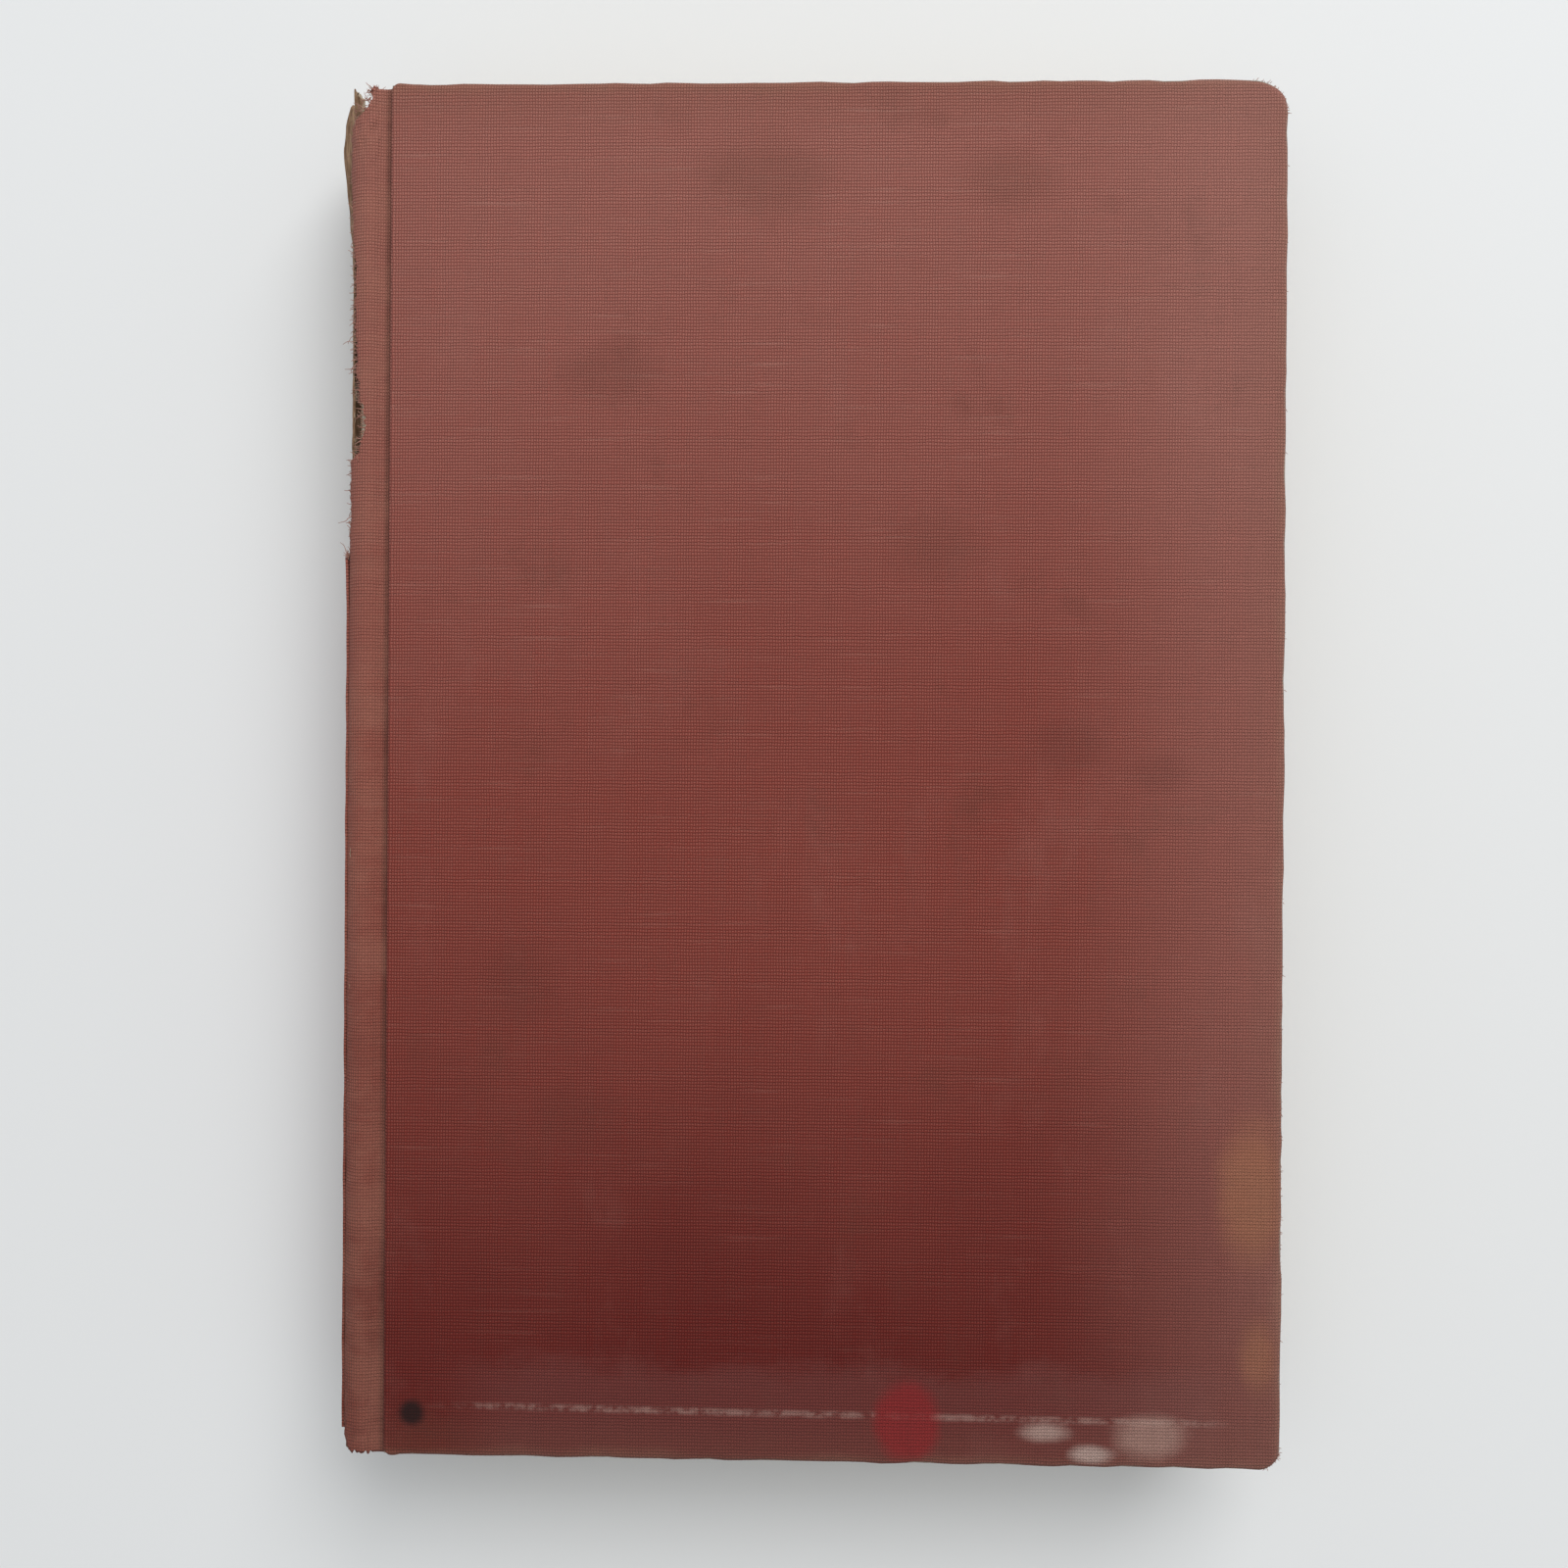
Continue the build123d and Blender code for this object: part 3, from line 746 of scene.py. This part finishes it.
# Frayed threads along the torn edges
starts, ways, lengths = [], [], []
for y in np.arange(30.5, H - 0.5, 0.21):
    turn = float(tear_left(np.array([y]), 1)[0])
    if turn > 185:
        continue
    a = math.radians(turn + rng.uniform(-3, 2))
    starts.append((axis_x + (ROLL - 0.15) * math.cos(a), y, side_z(1, (ROLL - 0.15) * math.sin(a))))
    ways.append((-math.sin(a) + rng.normal(0, 0.25), rng.normal(0, 0.55),
                 math.cos(a) + rng.normal(0.1, 0.25)))
    lengths.append(rng.uniform(0.4, 1.4) if rng.random() < 0.88 else rng.uniform(1.4, 2.6))
for i in range(len(spine_points)):
    for k in range(5):
        p = spine_points[i, -1].copy()
        p[2] += rng.uniform(-0.35, 0.35)
        starts.append(p + np.array([0.15, -0.1, 0]))
        ways.append((rng.normal(-0.25, 0.2), 1.0, rng.normal(0, 0.4)))
        lengths.append(rng.uniform(0.3, 1.3) if rng.random() < 0.85 else rng.uniform(1.5, 3.2))
piece = threads("torn_edge_threads", starts, ways, lengths, 0.085, thread, 81)
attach(piece, "text_block")

starts, ways, lengths = [], [], []
for x in np.arange(-2.2, 3.4, 0.16):
    z = math.sqrt(max(ROLL**2 - x * x, 0.1))
    starts.append((axis_x + x, H - 0.9 - max(0, 0.75 - x) * 1.3, side_z(1, z - 0.15)))
    ways.append((rng.normal(-0.3, 0.5), 1.0, rng.normal(0.1, 0.3)))
    lengths.append(rng.uniform(0.3, 1.1))
piece = threads("head_fringe_threads", starts, ways, lengths, 0.06, thread, 82)
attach(piece, "text_block")

# Rubbed fore-edge corners and edge of the front cover
starts, ways, lengths = [], [], []
for corner_y, r, count in ((1, HEAD_CORNER, 70), (-1, TAIL_CORNER, 80)):
    for k in range(count):
        a = rng.uniform(0, math.pi / 2)
        x = fore_x - r + (r - 0.15) * math.cos(a)
        y = corner_y * (H - r + (r - 0.15) * math.sin(a))
        starts.append((x, y, T - rng.uniform(0.5, 2.8)))
        ways.append((math.cos(a) + rng.normal(0, 0.5), corner_y * math.sin(a) + rng.normal(0, 0.5),
                     rng.normal(0, 0.4)))
        lengths.append(rng.uniform(0.15, 0.6))
for k in range(90):
    y = rng.uniform(-74, -50) if k < 50 else rng.uniform(-H + 5, H - 6)
    starts.append((fore_x - 0.12, y, T - rng.uniform(0.8, 2.4)))
    ways.append((1.0, rng.normal(0, 0.9), rng.normal(0, 0.5)))
    lengths.append(rng.uniform(0.12, 0.5))
piece = threads("front_cover_fray", starts, ways, lengths, 0.06, thread, 83)
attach(piece, "front_cover")
starts, ways, lengths = [], [], []
for corner_y, r, count in ((1, HEAD_CORNER, 50), (-1, TAIL_CORNER, 50)):
    for k in range(count):
        a = rng.uniform(0, math.pi / 2)
        starts.append((fore_x - r + (r - 0.15) * math.cos(a), corner_y * (H - r + (r - 0.15) * math.sin(a)),
                       rng.uniform(0.7, 2.8)))
        ways.append((math.cos(a) + rng.normal(0, 0.5), corner_y * math.sin(a) + rng.normal(0, 0.5), 0.2))
        lengths.append(rng.uniform(0.15, 0.5))
piece = threads("back_cover_fray", starts, ways, lengths, 0.06, thread, 84)
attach(piece, "back_cover")


# ---------------------------------------------------------------- leaves
block_lo, block_hi = [np.array(corner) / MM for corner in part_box("text_block")]
half_block = (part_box("front_flyleaf")[0][2] / MM - MID)
leaf_top = block_hi[1]
leaf_fore = block_hi[0]
back_line_x = block_lo[0]


def text_block():
    """The leaves, with every few sheets standing a hair further out or in than their neighbours."""
    rows = 236
    zs = np.linspace(-half_block, half_block, rows)
    step = rng.normal(0, 0.035, rows)
    gather = np.repeat(rng.normal(0, 0.07, rows // 12 + 1), 12)[:rows]
    step_x = step + gather + 0.05 * ripple(zs, zs * 0, 4, 91)
    step_y = rng.normal(0, 0.03, rows) + np.repeat(rng.normal(0, 0.06, rows // 12 + 1), 12)[:rows]
    crest = (zs / half_block) ** 2
    fore = leaf_fore - 2.0 * (1 - crest)
    back = back_line_x + 0.12 + 1.0 * crest
    n_edge, n_long = 46, 60
    verts, uvs = [], []
    for k, z in enumerate(zs):
        xs = np.linspace(back[k], fore[k], n_edge)
        top = leaf_top - 0.1 + step_y[k] + 0.03 * ripple(xs, xs * 0 + z, 30, 92)
        for x, y in zip(xs, top):
            verts.append((x, y, MID + z))
        ys = np.linspace(top[-1], -leaf_top + 0.1 - step_y[k], n_long)[1:-1]
        side = fore[k] - 0.1 + step_x[k] + 0.04 * ripple(ys, ys * 0 + z, 35, 93)
        side = np.minimum(side, leaf_fore)
        for x, y in zip(side, ys):
            verts.append((x, y, MID + z))
        bottom = -leaf_top + 0.1 - step_y[k] + 0.03 * ripple(xs, xs * 0 + z, 30, 94)
        for x, y in zip(xs[::-1], bottom[::-1]):
            verts.append((x, y, MID + z))
    m = n_edge * 2 + n_long - 2
    faces = []
    for k in range(rows - 1):
        for j in range(m):
            a, b = k * m + j, k * m + (j + 1) % m
            faces.append((b, a, a + m, b + m))
    faces.append(tuple(range(m)))
    faces.append(tuple(range((rows - 1) * m, rows * m))[::-1])
    # Shoulders that the backing hammer turned over, one along each side
    for half in (1, -1):
        outline = [(back_line_x + 1.1, -1.5)]
        for turn in np.linspace(180, 0, 15):
            a = math.radians(turn)
            outline.append((axis_x + 0.5 + 1.25 * math.cos(a), 0.6 + 1.25 * math.sin(a)))
        outline.append((axis_x + 1.75, -1.5))
        at = len(verts)
        for y in (leaf_top - 0.15, -leaf_top + 0.15):
            for x, z in outline:
                verts.append((x, y, side_z(half, z)))
        c = len(outline)
        for j in range(c):
            a, b = at + j, at + (j + 1) % c
            quad = (a, b, b + c, a + c)
            faces.append(quad if half > 0 else quad[::-1])
        first, second = tuple(range(at, at + c)), tuple(range(at + c, at + 2 * c))
        faces.append(first[::-1] if half > 0 else first)
        faces.append(second if half > 0 else second[::-1])
    uvs = [(v[0], v[1]) for v in verts]
    piece = add_mesh("leaves", verts, faces, uvs, page_edges)
    for polygon in piece.data.polygons:
        if len(polygon.vertices) > 4:
            polygon.use_smooth = False
    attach(piece, "text_block")
    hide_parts("text_block")


text_block()


def inner_joint(half):
    """Endpaper through the inner joint: a strip fixed to the leaves, and a second strip that is left
    unattached.
    """
    ys = np.linspace(-JOINT_PAPER_END, JOINT_PAPER_END, 60)
    fixed = [(4.6, -0.09), (3.4, -0.09), (2.5, -0.08)]
    fixed += [(FIXED_PAPER_ROLL * math.cos(math.radians(a)), FIXED_PAPER_ROLL * math.sin(math.radians(a)))
              for a in (8, 20, 35, 50, 65, 80, 95)]
    moving = [(4.4, 0.10), (3.6, 0.08), (3.0, 0.06), (2.6, 0.10)]
    moving += [(MOVING_PAPER_ROLL * math.cos(math.radians(a)), MOVING_PAPER_ROLL * math.sin(math.radians(a)))
               for a in (8, 18, 30, 42, 54, 66, 78, 90, 100)]
    body = "front_cover" if half > 0 else "back_cover"
    for kind, line, span in (("fixed", fixed, leaf_top - 0.3), ("moving", moving, JOINT_PAPER_END)):
        points = np.array([[(axis_x + x, y * span / JOINT_PAPER_END, side_z(half, z)) for y in ys]
                           for x, z in line])
        if half > 0:
            points = points[:, ::-1]
        thickness = -0.06 if kind == "fixed" else 0.06
        piece = sheet(f"{body}_inner_joint_{kind}", points, points[..., :2], thickness, endpaper)
        if kind == "fixed":
            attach(piece, "text_block")
            continue
        way = np.array([math.cos(math.radians(-20)), half * math.sin(math.radians(-20))])
        way = way * MOVING_PAPER_ROLL * MM
        bend_with_cover(piece, half)


inner_joint(1)
inner_joint(-1)

# Carried-over CAD pieces get their real surfaces
for node, material in {
    "front_board": millboard, "back_board": millboard, "front_flyleaf": endpaper, "back_flyleaf": endpaper,
    "front_gauze_flap": gauze, "back_gauze_flap": gauze, "spine_gauze": gauze, "spine_lining": kraft,
}.items():
    mesh = frame["nodes"][node].data
    mesh.materials.clear()
    mesh.materials.append(material)

# ---------------------------------------------------------------- floor, light, camera
bpy.ops.mesh.primitive_plane_add(size=6, location=(0, 0, -0.0002))
floor = bpy.context.object
floor.name = "floor"
floor_g = Graph("floor_surface")
floor.data.materials.append(floor_g.finish((0.76, 0.765, 0.76), None, 0.85, 0.0, 0.2))


def area_light(name, place, size, power, aim=(0, 0, 0)):
    """A square lamp at place, turned towards aim."""
    data = bpy.data.lights.new(name, "AREA")
    data.energy = power
    data.size = size
    light = bpy.data.objects.new(name, data)
    bpy.context.scene.collection.objects.link(light)
    light.location = place
    away = bpy.data.objects["floor"].location.copy()
    away[:] = (place[0] - aim[0], place[1] - aim[1], place[2] - aim[2])
    light.rotation_euler = away.to_track_quat("Z", "Y").to_euler()


area_light("window", place=(0.36, 0.75, 1.1), size=0.8, power=11.8, aim=(0, 0.02, 0))
area_light("sky", place=(-0.1, 0.1, 1.6), size=1.6, power=7.0)
world = bpy.data.worlds.new("studio")
world.use_nodes = True
background = world.node_tree.nodes["Background"]
background.inputs["Color"].default_value = (0.92, 0.96, 1.0, 1)
background.inputs["Strength"].default_value = 0.40
bpy.context.scene.world = world
bpy.context.scene.view_settings.view_transform = "Standard"

camera_height = 0.285  # above the front cover
camera_data = bpy.data.cameras.new("camera")
camera_data.sensor_width = 36
camera_data.lens = 46.0
camera = bpy.data.objects.new("camera", camera_data)
bpy.context.scene.collection.objects.link(camera)
camera.location = (0.0065, -0.0017, T * MM + camera_height)
camera.rotation_euler = (0, math.radians(2.0), math.radians(0.36))
camera_data.clip_start = 0.01
bpy.context.scene.camera = camera
